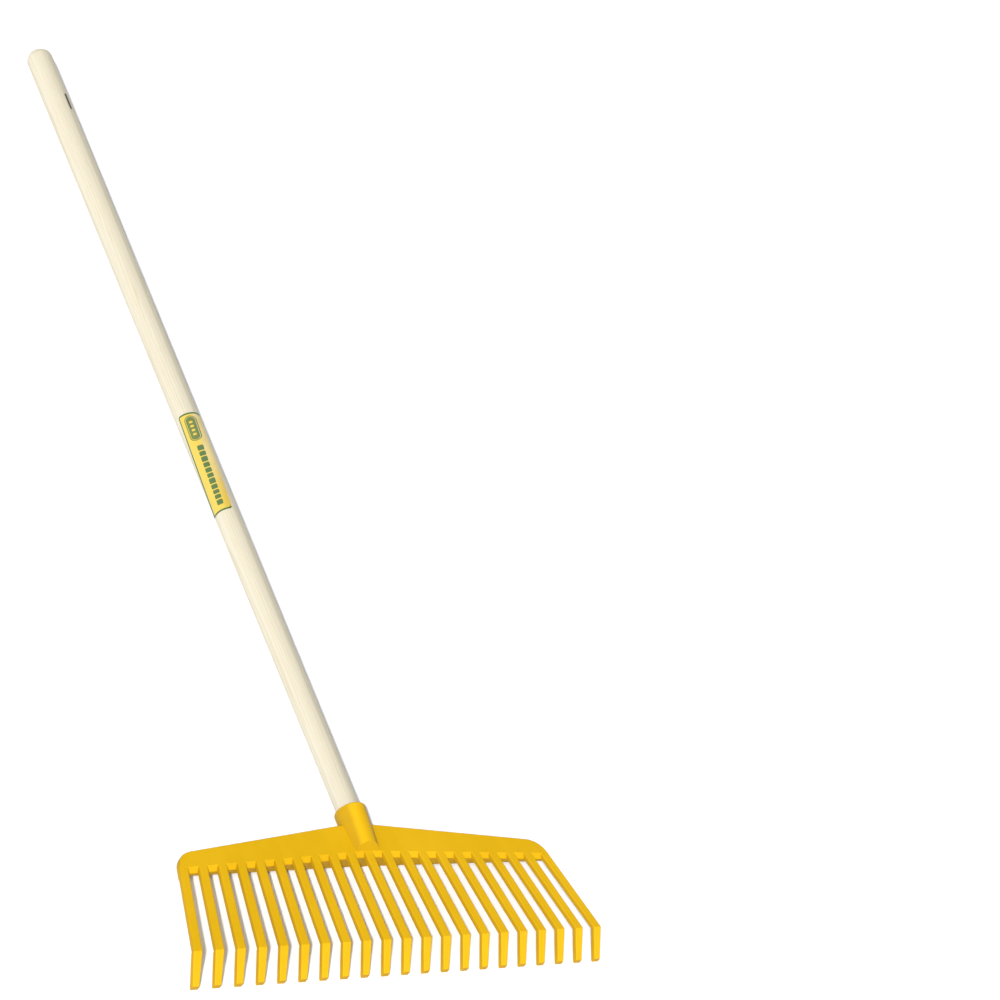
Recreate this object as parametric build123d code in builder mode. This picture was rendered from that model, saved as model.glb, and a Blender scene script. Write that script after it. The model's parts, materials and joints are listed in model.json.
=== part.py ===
from build123d import *
import os
from math import atan2, cos, radians, sin, tan

# Wide one-piece plastic lawn rake on a round wooden handle, millimetres.
# It lies as on a floor: tine tips and the butt of the handle touch z = 0,
# the convex face of the head looks up, the head is at -Y and the butt at +Y.

# ---- driving dimensions -------------------------------------------------------
# Head frame: X across, V along the plate towards the handle, W out of its front
# face. V = 0 lies a little below the plate's lower edge, W = 0 is the front face.

TINE_COUNT = 21
ROOT_PITCH = 22.9          # spacing of the tine centre lines at V = 0
BEND_PITCH = 24.9          # the tines fan out a little down to the bend
TIP_PITCH = 25.0
ROOT_WIDTH = 10.4
BEND_WIDTH = 10.4
TIP_WIDTH = 8.0
TINE_THICK = 4.4
TINE_ROOT_RISE = 6.0       # how far a tine's flush face runs up into the plate
TINE_FLUSH_V = 0.0         # top of the outermost tines' outer sides
BEND_V = -90.0
TIP_V = -115.0
BEND_ANGLE = 42.6          # the lower part turns this far back
TIP_FACE = 5.5             # height of the cut end face
TIP_LAND = 1.5             # small flat that the tip stands on
EDGE_R = 1.1               # front edges of the tines and the plate

PLATE_THICK = 5.5
PLATE_TOP_V = 57.0         # top edge on the centre line
PLATE_TOP_SLOPE = 0.135    # fall of the top edge per mm towards the sides
PLATE_LOW_V = 15.5         # lower edge on the centre line
PLATE_LOW_SLOPE = 0.052
PLATE_CORNER_R = 24.0
TAIL_DROP = 6.0            # the plate's ends run this far down over the outermost tines
LOWER_BEVEL = 5.1
BEVEL_INSET = 2.0          # the bevel stops this far inside the outermost tines

RIB_WALL = 5.0             # rear stiffening rib along the lower edge
RIB_DEPTH_MID = 19.9       # measured from the front face
RIB_DEPTH_END = 6.8
RIB_END_INSET = 3.0        # the rib stops this far inside the plate's sides
RIB_OVERLAP = 1.0          # and starts this deep inside the plate

SOCKET_ANGLE = 3.0         # the handle rises out of the plate by this angle
SOCKET_SINK_ANGLE = 8.4    # the socket's upper side sinks into the plate by this angle
MOUTH_V = 73.0
MOUTH_W = -1.5
SOCKET_R = 17.2
SOCKET_OFFSET = 0.8        # outside of the tube, off the bore's axis to the front
SOCKET_LENGTH = 64.0       # before its lower end is cut to the nose
SOCKET_RIM_R = 1.6
NOSE_V = 20.8              # foot of the sloped end of the tube on the plate
NOSE_ANGLE = 62.0

GATE_V = 8.5               # small round gate mark on the middle tine
GATE_R = 1.7
GATE_HEIGHT = 0.4

BORE_DEPTH = 40.0
HANDLE_MOUTH_R = 13.25     # handle radius at the socket's mouth
HANDLE_END_R = 12.2        # at its lower end, inside the socket
HANDLE_END_CHAMFER = 3.2
HANDLE_REACH = 1144.0      # from the mouth to the top of the dome
HANDLE_TOP_R = 16.0
DOME_LENGTH = 13.0
BUTT_LENGTH = 60.0         # parallel stretch just below the dome

LABEL_START = 398.0        # along the handle from the socket's mouth
LABEL_LENGTH = 141.0
LABEL_ARC = 108.0          # degrees round the handle
LABEL_CENTRE = -42.0       # degrees from straight up, towards -X
LABEL_SKEW = 2.3           # degrees off the handle's direction, as stuck on by hand
LABEL_THICK = 0.2
LABEL_CORNER_R = 3.0

SCREW_REACH = 24.0         # from the socket's mouth along the axis
SCREW_R = 2.0
SCREW_HEAD_R = 4.0
SCREW_HEAD_LENGTH = 2.0
SCREW_LENGTH = 16.0
SCREW_SLOT = 1.0
SCREW_SINK = 0.4           # head below the outside of the socket

TOUCH = 0.01               # points closer than this count as touching

os.makedirs("parts", exist_ok=True)

# ---- the way the rake lies ------------------------------------------------------
axis_v = cos(radians(SOCKET_ANGLE))
axis_w = sin(radians(SOCKET_ANGLE))
dome_start = HANDLE_REACH - DOME_LENGTH
taper_end = dome_start - BUTT_LENGTH
toe_w = (TIP_V - BEND_V) * tan(radians(BEND_ANGLE))
tip_w = toe_w - TIP_FACE
butt_v = MOUTH_V + dome_start * axis_v + HANDLE_TOP_R * axis_w
butt_w = MOUTH_W + dome_start * axis_w - HANDLE_TOP_R * axis_v
lie = atan2(butt_w - tip_w, butt_v - TIP_V)
apex_v = MOUTH_V + HANDLE_REACH * axis_v
apex_w = MOUTH_W + HANDLE_REACH * axis_w
lift = TIP_V * sin(lie) - tip_w * cos(lie)
front_y = TIP_V * cos(lie) + tip_w * sin(lie)
back_y = apex_v * cos(lie) + apex_w * sin(lie)
head_origin = Vector(0, -(front_y + back_y) / 2, lift)

across = Vector(1, 0, 0)
along_plate = Vector(0, cos(lie), -sin(lie))
out_of_plate = Vector(0, sin(lie), cos(lie))
along_handle = along_plate * axis_v + out_of_plate * axis_w
above_handle = out_of_plate * axis_v - along_plate * axis_w


def head_point(x, v, w):
    return head_origin + across * x + along_plate * v + out_of_plate * w


def head_v(point):
    return (point - head_origin).dot(along_plate)


def head_w(point):
    return (point - head_origin).dot(out_of_plate)


def front_plane(w=0.0):
    """Plane parallel to the front face: its x is across, its y is V."""
    return Plane(origin=head_point(0, 0, w), x_dir=across, z_dir=out_of_plate)


def side_plane():
    """Plane of symmetry: its x is V, its y is W."""
    return Plane(origin=head_origin, x_dir=along_plate, z_dir=across)


def cross_plane():
    """Plane across the head at V = 0: its x is across, its y is -W."""
    return Plane(origin=head_origin, x_dir=across, z_dir=along_plate)


mouth = head_point(0, MOUTH_V, MOUTH_W)


def radial_direction(angle):
    """Direction square to the handle, turned from straight up towards +X."""
    return above_handle * cos(radians(angle)) + across * sin(radians(angle))


def handle_section():
    """Plane through the handle's axis: x is along it, y is the radius."""
    return Plane(origin=mouth, x_dir=along_handle, z_dir=across)


handle_axis = Axis(mouth, along_handle)


def handle_radius(reach):
    """Radius of the tapered stretch at a distance from the socket's mouth."""
    return HANDLE_MOUTH_R + (HANDLE_TOP_R - HANDLE_MOUTH_R) * reach / taper_end


def low_v(x):
    return PLATE_LOW_V - PLATE_LOW_SLOPE * abs(x)


def front_w(v):
    """Height of the tines' front face, flat down to the bend and then turned back."""
    return min(0, (v - BEND_V) * tan(radians(BEND_ANGLE)))


def tine_centre(k, v):
    """Centre line of tine k, which fans out from the root to the bend."""
    return k * (ROOT_PITCH + (BEND_PITCH - ROOT_PITCH) * v / BEND_V)


# ---- tines: front outlines cut by one side profile ----------------------------------
half_count = TINE_COUNT // 2
end_x = tine_centre(half_count, BEND_V) + BEND_WIDTH
land_rise = TIP_LAND * (butt_w - tip_w) / (butt_v - TIP_V)
back_bend_v = BEND_V + TINE_THICK * tan(radians(BEND_ANGLE / 2))

with BuildPart() as tines:
    with BuildSketch(front_plane()):
        for k in range(-half_count, half_count + 1):
            top_v = low_v(tine_centre(k, 0)) + TINE_ROOT_RISE
            left_v = TINE_FLUSH_V if k == -half_count else top_v
            right_v = TINE_FLUSH_V if k == half_count else top_v
            bend_x, tip_x = k * BEND_PITCH, k * TIP_PITCH
            with BuildLine():
                Polyline(
                    (tine_centre(k, left_v) - ROOT_WIDTH / 2, left_v),
                    (bend_x - BEND_WIDTH / 2, BEND_V),
                    (tip_x - TIP_WIDTH / 2, TIP_V),
                    (tip_x + TIP_WIDTH / 2, TIP_V),
                    (bend_x + BEND_WIDTH / 2, BEND_V),
                    (tine_centre(k, right_v) + ROOT_WIDTH / 2, right_v),
                    close=True,
                )
            make_face()
    extrude(amount=tip_w - TIP_FACE)
    with BuildSketch(side_plane()):
        with BuildLine():
            Polyline(
                (PLATE_TOP_V, 0),
                (BEND_V, 0),
                (TIP_V, toe_w),
                (TIP_V, tip_w),
                (TIP_V + TIP_LAND, tip_w + land_rise),
                (back_bend_v, -TINE_THICK),
                (PLATE_TOP_V, -TINE_THICK),
                close=True,
            )
        make_face()
    extrude(amount=end_x, both=True, mode=Mode.INTERSECT)
    front_edges = tines.edges().filter_by(
        lambda e: e.length > 2 * BEND_WIDTH
        and abs(head_w(e.center()) - front_w(head_v(e.center()))) < TOUCH
    )
    fillet(front_edges, EDGE_R)

# ---- rear rib along the lower edge, deepest behind the socket -------------------------
plate_end_x = tine_centre(half_count, 0) + ROOT_WIDTH / 2 - RIB_END_INSET

with BuildPart() as rib:
    with BuildSketch(front_plane()):
        with BuildLine():
            Polyline(
                (-plate_end_x, low_v(plate_end_x)),
                (0, PLATE_LOW_V),
                (plate_end_x, low_v(plate_end_x)),
                (plate_end_x, low_v(plate_end_x) + RIB_WALL),
                (0, PLATE_LOW_V + RIB_WALL),
                (-plate_end_x, low_v(plate_end_x) + RIB_WALL),
                close=True,
            )
        make_face()
    extrude(amount=-2 * RIB_DEPTH_MID)
    with BuildSketch(cross_plane()):
        with BuildLine():
            Polyline(
                (-plate_end_x, PLATE_THICK - RIB_OVERLAP),
                (plate_end_x, PLATE_THICK - RIB_OVERLAP),
                (plate_end_x, RIB_DEPTH_END),
                (0, RIB_DEPTH_MID),
                (-plate_end_x, RIB_DEPTH_END),
                close=True,
            )
        make_face()
    extrude(amount=4 * PLATE_TOP_V, both=True, mode=Mode.INTERSECT)

# ---- handle outline, shared with the bore that grips its tapered end ------------------
def gripped_profile():
    """Tapered, chamfered end of the handle, as a half section."""
    Polyline(
        (0, 0),
        (-BORE_DEPTH, 0),
        (-BORE_DEPTH, HANDLE_END_R - HANDLE_END_CHAMFER),
        (-BORE_DEPTH + HANDLE_END_CHAMFER, HANDLE_END_R),
        (0, HANDLE_MOUTH_R),
    )


def screw_profile():
    """Half section of the countersunk screw: x runs inwards from its head."""
    Polyline(
        (0, 0),
        (0, SCREW_HEAD_R),
        (SCREW_HEAD_LENGTH, SCREW_R),
        (SCREW_LENGTH - SCREW_R, SCREW_R),
        (SCREW_LENGTH, 0),
        close=True,
    )


screw_seat = SOCKET_R - SOCKET_OFFSET - SCREW_SINK
screw_top = mouth - along_handle * SCREW_REACH - above_handle * screw_seat
screw_section = Plane(origin=screw_top, x_dir=above_handle, z_dir=across)
screw_axis = Axis(screw_top, above_handle)

# ---- socket: an eccentric tube with a sloped end that runs out on the plate ------------
nose_rise = 2 * SOCKET_R
nose_run = nose_rise / tan(radians(NOSE_ANGLE))
socket_centre = mouth + above_handle * SOCKET_OFFSET
sink = radians(SOCKET_SINK_ANGLE)
sink_direction = along_plate * cos(sink) + out_of_plate * sin(sink)

with BuildPart() as socket:
    with BuildSketch(Plane(socket_centre, across, along_handle)):
        Circle(SOCKET_R)
    extrude(amount=-SOCKET_LENGTH)
    rim = socket.faces().sort_by(Axis.Y)[-1].edges()
    fillet(rim, SOCKET_RIM_R)
    with BuildSketch(Plane(socket_centre, across, sink_direction)):
        Circle(SOCKET_R)
    extrude(amount=2 * SOCKET_LENGTH, both=True, mode=Mode.INTERSECT)
    with BuildSketch(side_plane()):
        with BuildLine():
            Polyline(
                (MOUTH_V + nose_rise, nose_rise),
                (NOSE_V + nose_run, nose_rise),
                (NOSE_V, 0),
                (PLATE_LOW_V, -PLATE_THICK),
                (PLATE_LOW_V, -nose_rise),
                (MOUTH_V + nose_rise, -nose_rise),
                close=True,
            )
        make_face()
    extrude(amount=nose_rise, both=True, mode=Mode.INTERSECT)

# ---- head: plate, rib, tines and socket as one moulding --------------------------------
side_slope = half_count * (BEND_PITCH - ROOT_PITCH) / -BEND_V
side_x = half_count * ROOT_PITCH + ROOT_WIDTH / 2
corner_x = (side_x - side_slope * PLATE_TOP_V) / (1 - side_slope * PLATE_TOP_SLOPE)
corner_v = PLATE_TOP_V - PLATE_TOP_SLOPE * corner_x
tail_v = low_v(side_x) - TAIL_DROP
tail_x = side_x - side_slope * tail_v
bevel_x = side_x - ROOT_WIDTH + BEVEL_INSET


def front_rim(plate):
    """Edges that bound the plate's front face."""
    return plate.edges().filter_by(lambda e: abs(head_w(e.center())) < TOUCH)


def edge_rise(edge):
    """Height of an edge's middle above the plate's lower edge."""
    return head_v(edge.center()) - low_v(edge.center().X)


with BuildPart() as rake_head:
    with BuildSketch(front_plane()) as outline:
        with BuildLine():
            Polyline(
                (0, PLATE_TOP_V),
                (corner_x, corner_v),
                (tail_x, tail_v),
                (bevel_x, tail_v),
                (bevel_x, low_v(bevel_x)),
                (0, PLATE_LOW_V),
                (-bevel_x, low_v(bevel_x)),
                (-bevel_x, tail_v),
                (-tail_x, tail_v),
                (-corner_x, corner_v),
                close=True,
            )
        make_face()
        top_corners = outline.vertices().filter_by(lambda v: abs(abs(v.X) - corner_x) < TOUCH)
        fillet(top_corners, PLATE_CORNER_R)
    extrude(amount=-PLATE_THICK)
    lower_edges = front_rim(rake_head).filter_by(lambda e: abs(edge_rise(e)) < TOUCH)
    chamfer(lower_edges, LOWER_BEVEL)
    upper_edges = front_rim(rake_head).filter_by(
        lambda e: edge_rise(e) > LOWER_BEVEL + TOUCH or abs(e.center().X) > side_x - EDGE_R
    )
    fillet(upper_edges, EDGE_R)
    add(rib.part)
    add(tines.part)
    add(socket.part)
    with BuildSketch(front_plane()):
        with Locations((0, GATE_V)):
            Circle(GATE_R)
    extrude(amount=GATE_HEIGHT)
    with BuildSketch(handle_section()):
        with BuildLine():
            gripped_profile()
            Polyline((0, HANDLE_MOUTH_R), (SOCKET_RIM_R, HANDLE_MOUTH_R), (SOCKET_RIM_R, 0), (0, 0))
        make_face()
    revolve(axis=handle_axis, mode=Mode.SUBTRACT)
    with BuildSketch(screw_section):
        with BuildLine():
            screw_profile()
        make_face()
        Rectangle(SCREW_HEAD_LENGTH, SCREW_HEAD_R, align=(Align.MAX, Align.MIN))
    revolve(axis=screw_axis, mode=Mode.SUBTRACT)
rake_head.part.label = "rake_head"
export_step(rake_head.part, "parts/rake_head.step")

# ---- handle: one turned ash shaft with a domed top --------------------------------------
with BuildPart() as handle:
    with BuildSketch(handle_section()):
        with BuildLine():
            gripped_profile()
            Polyline((0, HANDLE_MOUTH_R), (taper_end, HANDLE_TOP_R), (dome_start, HANDLE_TOP_R))
            EllipticalCenterArc((dome_start, 0), DOME_LENGTH, HANDLE_TOP_R)
            Line((HANDLE_REACH, 0), (0, 0))
        make_face()
    revolve(axis=handle_axis)
    with BuildSketch(screw_section):
        with BuildLine():
            screw_profile()
        make_face()
    revolve(axis=screw_axis, mode=Mode.SUBTRACT)
handle.part.label = "handle"
export_step(handle.part, "parts/handle.step")

# ---- fixing screw: through the underside of the socket into the handle ------------------
with BuildPart() as fixing_screw:
    with BuildSketch(screw_section):
        with BuildLine():
            screw_profile()
        make_face()
    revolve(axis=screw_axis)
    with BuildSketch(Plane(screw_top, across, above_handle)):
        Rectangle(2 * SCREW_HEAD_R, SCREW_SLOT)
    extrude(amount=SCREW_SLOT, mode=Mode.SUBTRACT)
fixing_screw.part.label = "fixing_screw"
export_step(fixing_screw.part, "parts/fixing_screw.step")

# ---- label: a thin printed wrap with rounded corners ------------------------------------
label_mid = LABEL_START + LABEL_LENGTH / 2
sleeve_start = LABEL_START - LABEL_CORNER_R
sleeve_end = LABEL_START + LABEL_LENGTH + LABEL_CORNER_R
label_width = 2 * handle_radius(label_mid) * sin(radians(LABEL_ARC / 2))
label_front = Plane(origin=mouth, x_dir=along_handle, z_dir=radial_direction(LABEL_CENTRE))

with BuildPart() as label:
    with BuildSketch(handle_section()):
        with BuildLine():
            Polyline(
                (sleeve_start, handle_radius(sleeve_start)),
                (sleeve_end, handle_radius(sleeve_end)),
                (sleeve_end, handle_radius(sleeve_end) + LABEL_THICK),
                (sleeve_start, handle_radius(sleeve_start) + LABEL_THICK),
                close=True,
            )
        make_face()
    revolve(axis=handle_axis)
    with BuildSketch(label_front):
        with Locations((label_mid, 0)):
            RectangleRounded(LABEL_LENGTH, label_width, LABEL_CORNER_R, rotation=-LABEL_SKEW)
    extrude(amount=HANDLE_TOP_R + LABEL_THICK, mode=Mode.INTERSECT)
label.part.label = "label"
export_step(label.part, "parts/label.step")
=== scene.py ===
import json
from math import atan2, cos, radians, sin

import bpy
from mathutils import Matrix, Vector


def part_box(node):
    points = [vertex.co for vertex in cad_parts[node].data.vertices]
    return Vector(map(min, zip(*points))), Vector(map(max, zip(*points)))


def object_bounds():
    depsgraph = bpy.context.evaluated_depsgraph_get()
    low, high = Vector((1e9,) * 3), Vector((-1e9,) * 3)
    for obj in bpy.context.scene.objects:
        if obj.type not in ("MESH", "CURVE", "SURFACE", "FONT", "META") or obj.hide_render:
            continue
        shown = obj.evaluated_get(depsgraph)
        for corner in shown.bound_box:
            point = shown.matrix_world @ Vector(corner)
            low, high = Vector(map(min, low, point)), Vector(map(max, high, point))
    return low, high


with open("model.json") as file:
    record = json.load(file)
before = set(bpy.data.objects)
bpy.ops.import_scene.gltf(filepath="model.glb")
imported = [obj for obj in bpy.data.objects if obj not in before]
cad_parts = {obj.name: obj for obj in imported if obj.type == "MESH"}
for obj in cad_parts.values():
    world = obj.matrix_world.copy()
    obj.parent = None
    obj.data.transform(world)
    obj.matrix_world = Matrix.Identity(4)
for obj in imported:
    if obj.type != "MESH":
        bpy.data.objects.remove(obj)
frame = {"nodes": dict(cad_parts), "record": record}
cad_low, cad_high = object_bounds()

MM = 0.001

# ---- node helpers -----------------------------------------------------------------------


class Graph:
    """Builds one material's nodes; every helper returns an output socket."""

    def __init__(self, name):
        self.material = bpy.data.materials.new(name)
        self.material.use_nodes = True
        self.tree = self.material.node_tree
        self.shader = self.tree.nodes["Principled BSDF"]
        place = self.node("ShaderNodeTexCoord")
        self.coords = place.outputs["Object"]
        self.facing = place.outputs["Normal"]

    def node(self, kind, **settings):
        made = self.tree.nodes.new(kind)
        for key, value in settings.items():
            setattr(made, key, value)
        return made

    def plug(self, socket, value):
        """Links an output socket to this input, or sets the input to a plain value."""
        if isinstance(value, bpy.types.NodeSocket):
            self.tree.links.new(value, socket)
        else:
            socket.default_value = value

    def set(self, name, value):
        self.plug(self.shader.inputs[name], value)

    def math(self, operation, *values):
        made = self.node("ShaderNodeMath", operation=operation)
        for socket, value in zip(made.inputs, values):
            self.plug(socket, value)
        return made.outputs[0]

    def vector(self, operation, *values):
        made = self.node("ShaderNodeVectorMath", operation=operation)
        for socket, value in zip(made.inputs, values):
            self.plug(socket, value)
        return made.outputs["Value" if operation == "DOT_PRODUCT" else "Vector"]

    def noise(self, where, scale, detail=3.0, roughness=0.5):
        made = self.node("ShaderNodeTexNoise")
        self.plug(made.inputs["Vector"], where)
        made.inputs["Scale"].default_value = scale
        made.inputs["Detail"].default_value = detail
        made.inputs["Roughness"].default_value = roughness
        return made.outputs["Fac"]

    def remap(self, value, low, high, to_low=0.0, to_high=1.0):
        """Smooth step from to_low at low to to_high at high."""
        made = self.node("ShaderNodeMapRange", interpolation_type="SMOOTHSTEP")
        for name, setting in (
            ("Value", value),
            ("From Min", low),
            ("From Max", high),
            ("To Min", to_low),
            ("To Max", to_high),
        ):
            self.plug(made.inputs[name], setting)
        return made.outputs["Result"]

    def mix(self, factor, first, second):
        made = self.node("ShaderNodeMix", data_type="RGBA")
        self.plug(made.inputs[0], factor)
        self.plug(made.inputs[6], first)
        self.plug(made.inputs[7], second)
        return made.outputs[2]

    def bump(self, height, strength, distance, normal=None):
        made = self.node("ShaderNodeBump")
        made.inputs["Strength"].default_value = strength
        made.inputs["Distance"].default_value = distance
        self.plug(made.inputs["Height"], height)
        if normal is not None:
            self.plug(made.inputs["Normal"], normal)
        return made.outputs["Normal"]

    def rounded_box(self, x, y, half_x, half_y, radius):
        """Signed distance from (x, y) to a rectangle with round corners."""
        dx = self.math("SUBTRACT", self.math("ABSOLUTE", x), half_x - radius)
        dy = self.math("SUBTRACT", self.math("ABSOLUTE", y), half_y - radius)
        px = self.math("MAXIMUM", dx, 0.0)
        py = self.math("MAXIMUM", dy, 0.0)
        square_x = self.math("MULTIPLY", px, px)
        square_y = self.math("MULTIPLY", py, py)
        outer = self.math("SQRT", self.math("ADD", square_x, square_y))
        inner = self.math("MINIMUM", self.math("MAXIMUM", dx, dy), 0.0)
        return self.math("SUBTRACT", self.math("ADD", outer, inner), radius)


def dress(node, material):
    """Gives a CAD node's object a material through its own slots."""
    for slot in frame["nodes"][node].material_slots:
        slot.link = "OBJECT"
        slot.material = material


# ---- moulded plastic head ---------------------------------------------------------------
# Noise scales are in features per metre, here and in every other material.
# Lit and shaded copies of the yellow, as painted light and shade: lighter on faces turned
# towards the lights, darker elsewhere.
PLASTIC_PAINTED_LIT = ((0.60, 0.345, 0.003, 1), (0.645, 0.375, 0.005, 1))
PLASTIC_PAINTED_SHADE = ((0.42, 0.236, 0.003, 1), (0.45, 0.258, 0.004, 1))
PAINTED_LIGHT_SIDE = (0, -0.35, 0.94)         # painted light: faces that look this way get the lighter yellow, the rest a painted shade
PAINTED_LIGHT_FROM = 0.66
PAINTED_LIGHT_TO = 0.92
CLOUD_SCALE = 14
CLOUD_SHARE = 0.6                   # the rest of the tint is flow marks
FLOW_SCALES = (60, 12, 60)
MOTTLE_LOW = 0.3                    # the part of a noise's range that colours use
MOTTLE_HIGH = 0.7
NOISE_MIDDLE = 0.5
SPECK_SCALE = 900
SPECK_CLOUD = 0.5                   # how much of the cloud goes into the roughness
MATT_LOW = 0.5
MATT_HIGH = 1.0
PLASTIC_ROUGHNESS = (0.46, 0.60)
PEEL_SCALE = 130                    # soft waves of the moulded skin
PEEL_DEPTH = 0.6 * MM
SPECK_DEPTH = 0.1 * MM
PLASTIC_BUMP = 0.10
PLASTIC_IOR = 1.49
PLASTIC_SPECULAR = 0.15


def plastic():
    g = Graph("moulded_yellow_plastic")
    cloud = g.noise(g.coords, CLOUD_SCALE, detail=4)
    flow = g.noise(g.vector("MULTIPLY", g.coords, FLOW_SCALES), 1, detail=3)
    clouds = g.math("MULTIPLY", cloud, CLOUD_SHARE)
    flows = g.math("MULTIPLY", flow, 1 - CLOUD_SHARE)
    tint = g.remap(g.math("ADD", clouds, flows), MOTTLE_LOW, MOTTLE_HIGH)
    # Painted light and shade: faces turned towards the lights take the lighter yellow, the
    # others the darker one.
    lit_facing = g.vector("DOT_PRODUCT", g.facing, PAINTED_LIGHT_SIDE)
    painted_light = g.remap(lit_facing, PAINTED_LIGHT_FROM, PAINTED_LIGHT_TO)
    g.set("Base Color", g.mix(painted_light, g.mix(tint, *PLASTIC_PAINTED_SHADE), g.mix(tint, *PLASTIC_PAINTED_LIT)))
    speck = g.noise(g.coords, SPECK_SCALE, detail=2)
    matt = g.math("ADD", speck, g.math("MULTIPLY", cloud, SPECK_CLOUD))
    g.set("Roughness", g.remap(matt, MATT_LOW, MATT_HIGH, *PLASTIC_ROUGHNESS))
    peel = g.bump(g.noise(g.coords, PEEL_SCALE, detail=2), PLASTIC_BUMP, PEEL_DEPTH)
    g.set("Normal", g.bump(speck, PLASTIC_BUMP, SPECK_DEPTH, peel))
    g.set("IOR", PLASTIC_IOR)
    g.set("Specular IOR Level", PLASTIC_SPECULAR)
    return g.material


# ---- the handle's own directions --------------------------------------------------------
grip = frame["record"]["mounts"][0]
axis_point = Vector(grip["pos_m"])
along = Vector(grip["axis"]).normalized()
across = Vector((1, 0, 0))
above = across.cross(along)
handle_low, handle_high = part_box("handle")

# ---- pale turned wood -------------------------------------------------------------------
WOOD_EARLY = (0.54, 0.50, 0.395, 1)
WOOD_LATE = (0.49, 0.43, 0.305, 1)
WOOD_FIBRE = (0.47, 0.41, 0.28, 1)
WOOD_PORE = (0.35, 0.27, 0.17, 1)
GRAIN_STRETCH = 0.035               # the grain is this much slower along the handle
RINGS_ACROSS = 330.0                # year rings per metre sideways and upwards
RINGS_UP = 150.0
RING_DRIFT = 5.0                    # rings that the grain wanders by
DRIFT_SCALE = 55
LATE_START = 0.45                   # late wood within one ring, which ends sharply
LATE_FULL = 0.95
LATE_END = 0.93
FIBRE_SCALE = 900
FIBRE_LOW = 0.35
FIBRE_HIGH = 0.75
FIBRE_SHARE = 0.30
PORE_SCALE = 1500
PORE_SHARE = 0.25
PORE_LOW = 0.62
PORE_HIGH = 0.74
WOOD_ROUGHNESS = (0.42, 0.58)
GRAIN_DEPTH = 0.2 * MM
GRAIN_BUMP = 0.25
PORE_BUMP = 0.20
OIL_WEIGHT = 0.12
OIL_ROUGHNESS = 0.3

MARK_MIDDLE = -57.5 * MM            # small dark mark near the butt
MARK_HALF = (13.5 * MM, 1.7 * MM)
MARK_TURN = radians(15)             # from straight up, round towards +X
MARK_RADIUS = (handle_high.x - handle_low.x) / 2
MARK_COLOUR = (0.03, 0.014, 0.006, 1)
MARK_STRENGTH = 0.97
MARK_SOFT = 0.5 * MM
MARK_RAGGED = 1.4 * MM
MARK_NOISE_SCALE = 600


def wood():
    g = Graph("pale_hardwood")
    arm = g.vector("SUBTRACT", g.coords, tuple(axis_point))
    reach = g.vector("DOT_PRODUCT", arm, tuple(along))
    side = g.vector("DOT_PRODUCT", arm, tuple(across))
    rise = g.vector("DOT_PRODUCT", arm, tuple(above))
    place = g.node("ShaderNodeCombineXYZ")
    g.plug(place.inputs[0], side)
    g.plug(place.inputs[1], g.math("MULTIPLY", reach, GRAIN_STRETCH))
    g.plug(place.inputs[2], rise)
    spot = place.outputs[0]

    drift = g.noise(spot, DRIFT_SCALE, detail=3, roughness=0.6)
    rings_side = g.math("MULTIPLY", side, RINGS_ACROSS)
    rings_rise = g.math("MULTIPLY", rise, RINGS_UP)
    layers = g.math("ADD", rings_side, rings_rise)
    ring = g.math("FRACT", g.math("ADD", layers, g.math("MULTIPLY", drift, RING_DRIFT)))
    late = g.remap(ring, LATE_START, LATE_FULL)
    late = g.math("MULTIPLY", late, g.remap(ring, 1.0, LATE_END))
    fibre = g.noise(spot, FIBRE_SCALE, detail=4, roughness=0.65)
    pores = g.remap(g.noise(spot, PORE_SCALE, detail=2), PORE_LOW, PORE_HIGH)
    base = g.mix(late, WOOD_EARLY, WOOD_LATE)
    fibrous = g.remap(fibre, FIBRE_LOW, FIBRE_HIGH, 0.0, FIBRE_SHARE)
    base = g.mix(fibrous, base, WOOD_FIBRE)
    base = g.mix(g.math("MULTIPLY", pores, PORE_SHARE), base, WOOD_PORE)

    turn = g.math("SUBTRACT", g.math("ARCTAN2", side, rise), MARK_TURN)
    wrap = g.math("MULTIPLY", turn, MARK_RADIUS)
    lead = g.math("SUBTRACT", reach, MARK_MIDDLE)
    wander = g.math("SUBTRACT", g.noise(g.coords, MARK_NOISE_SCALE, detail=3), NOISE_MIDDLE)
    outline = g.rounded_box(lead, wrap, *MARK_HALF, MARK_HALF[1])
    mark = g.math("ADD", outline, g.math("MULTIPLY", wander, MARK_RAGGED))
    dark_mark = g.remap(mark, -MARK_SOFT, MARK_SOFT, MARK_STRENGTH, 0.0)
    g.set("Base Color", g.mix(dark_mark, base, MARK_COLOUR))

    g.set("Roughness", g.remap(fibre, MOTTLE_LOW, MOTTLE_HIGH, *WOOD_ROUGHNESS))
    grain = g.bump(fibre, GRAIN_BUMP, GRAIN_DEPTH)
    g.set("Normal", g.bump(pores, PORE_BUMP, -GRAIN_DEPTH, grain))
    g.set("Coat Weight", OIL_WEIGHT)
    g.set("Coat Roughness", OIL_ROUGHNESS)
    return g.material


# ---- printed film label -----------------------------------------------------------------
# Flat directions over the label: it is stuck on a little off the handle's own direction.
LABEL_SKEW = radians(2.3)
label_arms = [v.co - axis_point for v in frame["nodes"]["label"].data.vertices]
label_turns = [atan2(arm.dot(across), arm.dot(above)) for arm in label_arms]
label_turn = (min(label_turns) + max(label_turns)) / 2
label_side = across * cos(label_turn) - above * sin(label_turn)
label_up = along * cos(LABEL_SKEW) + label_side * sin(LABEL_SKEW)
label_right = label_side * cos(LABEL_SKEW) - along * sin(LABEL_SKEW)


def middle_and_half(arms, direction):
    """Middle and half length of a set of points, measured along a direction."""
    places = [arm.dot(direction) for arm in arms]
    return (min(places) + max(places)) / 2, (max(places) - min(places)) / 2


label_middle_up, label_half_up = middle_and_half(label_arms, label_up)
label_middle_right, label_half_right = middle_and_half(label_arms, label_right)

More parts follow.
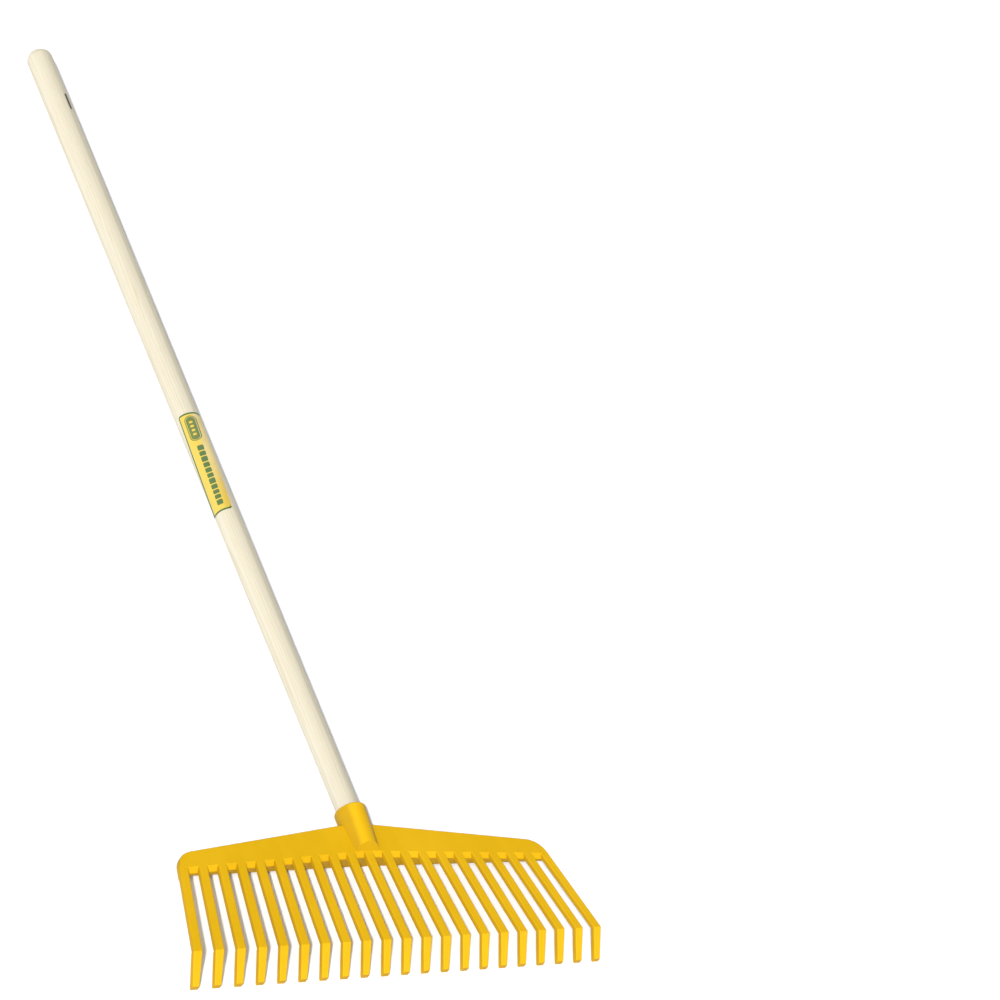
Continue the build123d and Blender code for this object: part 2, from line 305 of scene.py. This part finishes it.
# Lengths on the label are from its middle: up is towards the butt, right towards +X.
LABEL_CORNER = 3.0 * MM
BORDER_INSET = 1.15 * MM
BORDER_HALF = 1.0 * MM
RIGHT_LINE_START = 9.8 * MM         # the border line is left out along the right side
RIGHT_LINE_END = 67.0 * MM

# Plain blocks printed in a row: middle and half length along the label, in mm.
BLOCKS = (
    (19.2, 3.6), (11.0, 3.1), (3.0, 3.6), (-5.2, 3.2), (-13.0, 3.1), (-20.4, 2.9),
    (-28.4, 3.7), (-36.6, 3.1), (-43.8, 2.6), (-50.6, 2.7), (-58.4, 3.4),
)
BLOCK_RIGHT = 1.8 * MM
BLOCK_HALF_HEIGHT = 3.6 * MM
BLOCK_CORNER = 1.2 * MM
BLOCK_INK = 0.88

# Badge: a disc with a pale ring inside its edge and four pale windows.
BADGE_UP = 48.0 * MM
BADGE_RIGHT = 0.9 * MM
BADGE_HALF = (18.0 * MM, 6.8 * MM)
BADGE_INK = 0.80
BADGE_RING_INSET = 1.4 * MM
BADGE_RING_HALF = 0.3 * MM
WINDOW_PITCH = 5.8 * MM
WINDOW_STEPS = (-1.5, -0.5, 0.5, 1.5)
WINDOW_HALF = (1.5 * MM, 2.0 * MM)
WINDOW_CORNER = 0.9 * MM

INK_SOFT = 0.15 * MM                # softness of the print's edges
INK_GREENS = ((0.010, 0.085, 0.038, 1), (0.022, 0.125, 0.058, 1))
INK_SPECK_SCALE = 1400
FILM_YELLOWS = ((0.56, 0.405, 0.07, 1), (0.52, 0.36, 0.06, 1))
FILM_PAINTED_SHEEN = (0.59, 0.49, 0.24, 1)
DEEPER_FROM = 3 * MM                # the yellow is deeper towards the right edge
DEEPER_TO = 9 * MM
SHEEN_RIGHT = (1 * MM, 9 * MM)       # painted highlight: a pale sheen grows towards the upper right
SHEEN_UP = (-60 * MM, 20 * MM)
SHEEN_LEAST = 0.7
FILM_CLOUD_SCALE = 120
FILM_ROUGHNESS = (0.34, 0.46)
FILM_RIPPLE_SCALE = 420
FILM_RIPPLE_BUMP = 0.06
FILM_RIPPLE_DEPTH = 0.2 * MM
FILM_SPECULAR = 0.3


def border_ink(g, up, right):
    """Line just inside the label's edge, open along the right side."""
    edge = g.rounded_box(up, right, label_half_up, label_half_right, LABEL_CORNER)
    line = g.math("ABSOLUTE", g.math("ADD", edge, BORDER_INSET))
    ink = g.remap(line, BORDER_HALF - INK_SOFT, BORDER_HALF + INK_SOFT, 1.0, 0.0)
    far_right = g.math("GREATER_THAN", right, RIGHT_LINE_START)
    between_ends = g.math("LESS_THAN", g.math("ABSOLUTE", up), RIGHT_LINE_END)
    left_out = g.math("MULTIPLY", far_right, between_ends)
    return g.math("MULTIPLY", ink, g.math("SUBTRACT", 1.0, left_out))


def badge_ink(g, up, right):
    """Disc with a ring and windows left free of ink."""
    badge = g.rounded_box(up, right, *BADGE_HALF, BADGE_HALF[1])
    disc = g.remap(badge, -INK_SOFT, INK_SOFT, BADGE_INK, 0.0)
    ring = g.math("ABSOLUTE", g.math("ADD", badge, BADGE_RING_INSET))
    ring = g.remap(ring, BADGE_RING_HALF - INK_SOFT, BADGE_RING_HALF + INK_SOFT)
    ink = g.math("MULTIPLY", disc, ring)
    for step in WINDOW_STEPS:
        place = g.math("SUBTRACT", up, step * WINDOW_PITCH)
        window = g.rounded_box(place, right, *WINDOW_HALF, WINDOW_CORNER)
        ink = g.math("MULTIPLY", ink, g.remap(window, -INK_SOFT, INK_SOFT))
    return ink


def label():
    g = Graph("printed_label_film")
    arm = g.vector("SUBTRACT", g.coords, tuple(axis_point))
    up = g.vector("DOT_PRODUCT", arm, tuple(label_up))
    up = g.math("SUBTRACT", up, label_middle_up)
    right = g.vector("DOT_PRODUCT", arm, tuple(label_right))
    right = g.math("SUBTRACT", right, label_middle_right)

    ink = border_ink(g, up, right)
    block_right = g.math("SUBTRACT", right, BLOCK_RIGHT)
    for middle, half in BLOCKS:
        place = g.math("SUBTRACT", up, middle * MM)
        block = g.rounded_box(place, block_right, half * MM, BLOCK_HALF_HEIGHT, BLOCK_CORNER)
        ink = g.math("MAXIMUM", ink, g.remap(block, -INK_SOFT, INK_SOFT, BLOCK_INK, 0.0))
    badge_up = g.math("SUBTRACT", up, BADGE_UP)
    badge_right = g.math("SUBTRACT", right, BADGE_RIGHT)
    ink = g.math("MAXIMUM", ink, badge_ink(g, badge_up, badge_right))

    cloud = g.noise(g.coords, FILM_CLOUD_SCALE, detail=3)
    # Painted highlight: the film turns pale towards the upper right, patchy with the cloud.
    sheen = g.math("MULTIPLY", g.remap(right, *SHEEN_RIGHT), g.remap(up, *SHEEN_UP))
    patchy = g.remap(cloud, MOTTLE_LOW, MOTTLE_HIGH, SHEEN_LEAST, 1.0)
    sheen = g.math("MULTIPLY", sheen, patchy)
    film = g.mix(g.remap(right, DEEPER_FROM, DEEPER_TO), *FILM_YELLOWS)
    film = g.mix(sheen, film, FILM_PAINTED_SHEEN)
    green = g.mix(g.noise(g.coords, INK_SPECK_SCALE, detail=2), *INK_GREENS)
    g.set("Base Color", g.mix(ink, film, green))
    g.set("Roughness", g.remap(cloud, MOTTLE_LOW, MOTTLE_HIGH, *FILM_ROUGHNESS))
    ripple = g.noise(g.coords, FILM_RIPPLE_SCALE, detail=2)
    g.set("Normal", g.bump(ripple, FILM_RIPPLE_BUMP, FILM_RIPPLE_DEPTH))
    g.set("Specular IOR Level", FILM_SPECULAR)
    return g.material


# ---- zinc-plated screw ------------------------------------------------------------------
STEEL_GREYS = ((0.42, 0.42, 0.43, 1), (0.62, 0.62, 0.63, 1))
STEEL_GRAIN_SCALE = 2500
STEEL_ROUGHNESS = (0.25, 0.42)


def steel():
    g = Graph("zinc_plated_steel")
    grain = g.noise(g.coords, STEEL_GRAIN_SCALE, detail=3)
    g.set("Base Color", g.mix(grain, *STEEL_GREYS))
    g.set("Metallic", 1.0)
    g.set("Roughness", g.remap(grain, MOTTLE_LOW, MOTTLE_HIGH, *STEEL_ROUGHNESS))
    return g.material


dress("rake_head", plastic())
dress("handle", wood())
dress("label", label())
dress("fixing_screw", steel())

# ---- floor ------------------------------------------------------------------------------
FLOOR_HALF = 60.0
FLOOR_CORNERS = ((-1, -1), (1, -1), (1, 1), (-1, 1))
FLOOR_COLOUR = (0.88, 0.89, 0.91, 1)
FLOOR_ROUGHNESS = 0.9
FLOOR_SPECULAR = 0.1

floor_mesh = bpy.data.meshes.new("floor")
corners = [(x * FLOOR_HALF, y * FLOOR_HALF, 0) for x, y in FLOOR_CORNERS]
floor_mesh.from_pydata(corners, [], [range(len(corners))])
floor = bpy.data.objects.new("floor", floor_mesh)
floor.location.z = cad_low[2]
bpy.context.scene.collection.objects.link(floor)
floor_graph = Graph("studio_floor")
floor_graph.set("Base Color", FLOOR_COLOUR)
floor_graph.set("Roughness", FLOOR_ROUGHNESS)
floor_graph.set("Specular IOR Level", FLOOR_SPECULAR)
floor_mesh.materials.append(floor_graph.material)

# ---- light ------------------------------------------------------------------------------
# The studio is white at the height of the horizon and dim overhead.
SKY_COLOUR = (0.93, 0.96, 1.0, 1)
SKY_FADE = {"From Min": 0.0, "From Max": 0.2, "To Min": 1.0, "To Max": 0.15}

# Name, direction from the part to the light, strength, and apparent size in degrees.
SUNS = (
    ("key", (-0.91, -0.6, 1.0), 3.75, 3),
    ("top_fill", (-0.5, -0.3, 1.0), 0.55, 20),
    ("left_fill", (-1.45, -0.5, 1.0), 0.65, 25),
    ("right_fill", (1.2, -0.3, 1.0), 0.45, 25),
    ("front_fill", (0.0, -1.5, 0.8), 0.50, 20),
)

world = bpy.data.worlds.new("studio")
bpy.context.scene.world = world
world.use_nodes = True
sky = world.node_tree
sky_light = sky.nodes["Background"]
sky_light.inputs["Color"].default_value = SKY_COLOUR
sky_place = sky.nodes.new("ShaderNodeTexCoord")
sky_parts = sky.nodes.new("ShaderNodeSeparateXYZ")
sky_fade = sky.nodes.new("ShaderNodeMapRange")
for name, value in SKY_FADE.items():
    sky_fade.inputs[name].default_value = value
sky.links.new(sky_place.outputs["Generated"], sky_parts.inputs[0])
sky.links.new(sky_parts.outputs["Z"], sky_fade.inputs["Value"])
sky.links.new(sky_fade.outputs["Result"], sky_light.inputs["Strength"])

for name, direction, strength, angle in SUNS:
    sun = bpy.data.lights.new(name, "SUN")
    sun.energy = strength
    sun.angle = radians(angle)
    lamp = bpy.data.objects.new(name, sun)
    lamp.rotation_euler = Vector(direction).to_track_quat("Z", "Y").to_euler()
    bpy.context.scene.collection.objects.link(lamp)

# ---- camera -----------------------------------------------------------------------------
CAMERA_PLACE = Vector((-1.7749, -1.89465, 2.12402))
CAMERA_HEADING = -49.5202           # degrees round Z, from looking along +Y
CAMERA_TILT = 53.6702               # degrees up from looking straight down
CAMERA_ROLL = 37.7729               # degrees round its own line of sight
CAMERA_LENS = 106.34                # mm, on a sensor of this width
CAMERA_SENSOR = 36.0

camera_data = bpy.data.cameras.new("camera")
camera_data.sensor_width = CAMERA_SENSOR
camera_data.lens = CAMERA_LENS
camera = bpy.data.objects.new("camera", camera_data)
heading = Matrix.Rotation(radians(CAMERA_HEADING), 4, "Z")
tilt = Matrix.Rotation(radians(CAMERA_TILT), 4, "X")
roll = Matrix.Rotation(radians(CAMERA_ROLL), 4, "Z")
camera.matrix_world = Matrix.Translation(CAMERA_PLACE) @ heading @ tilt @ roll
bpy.context.scene.collection.objects.link(camera)
bpy.context.scene.camera = camera
bpy.context.scene.view_settings.view_transform = "Standard"
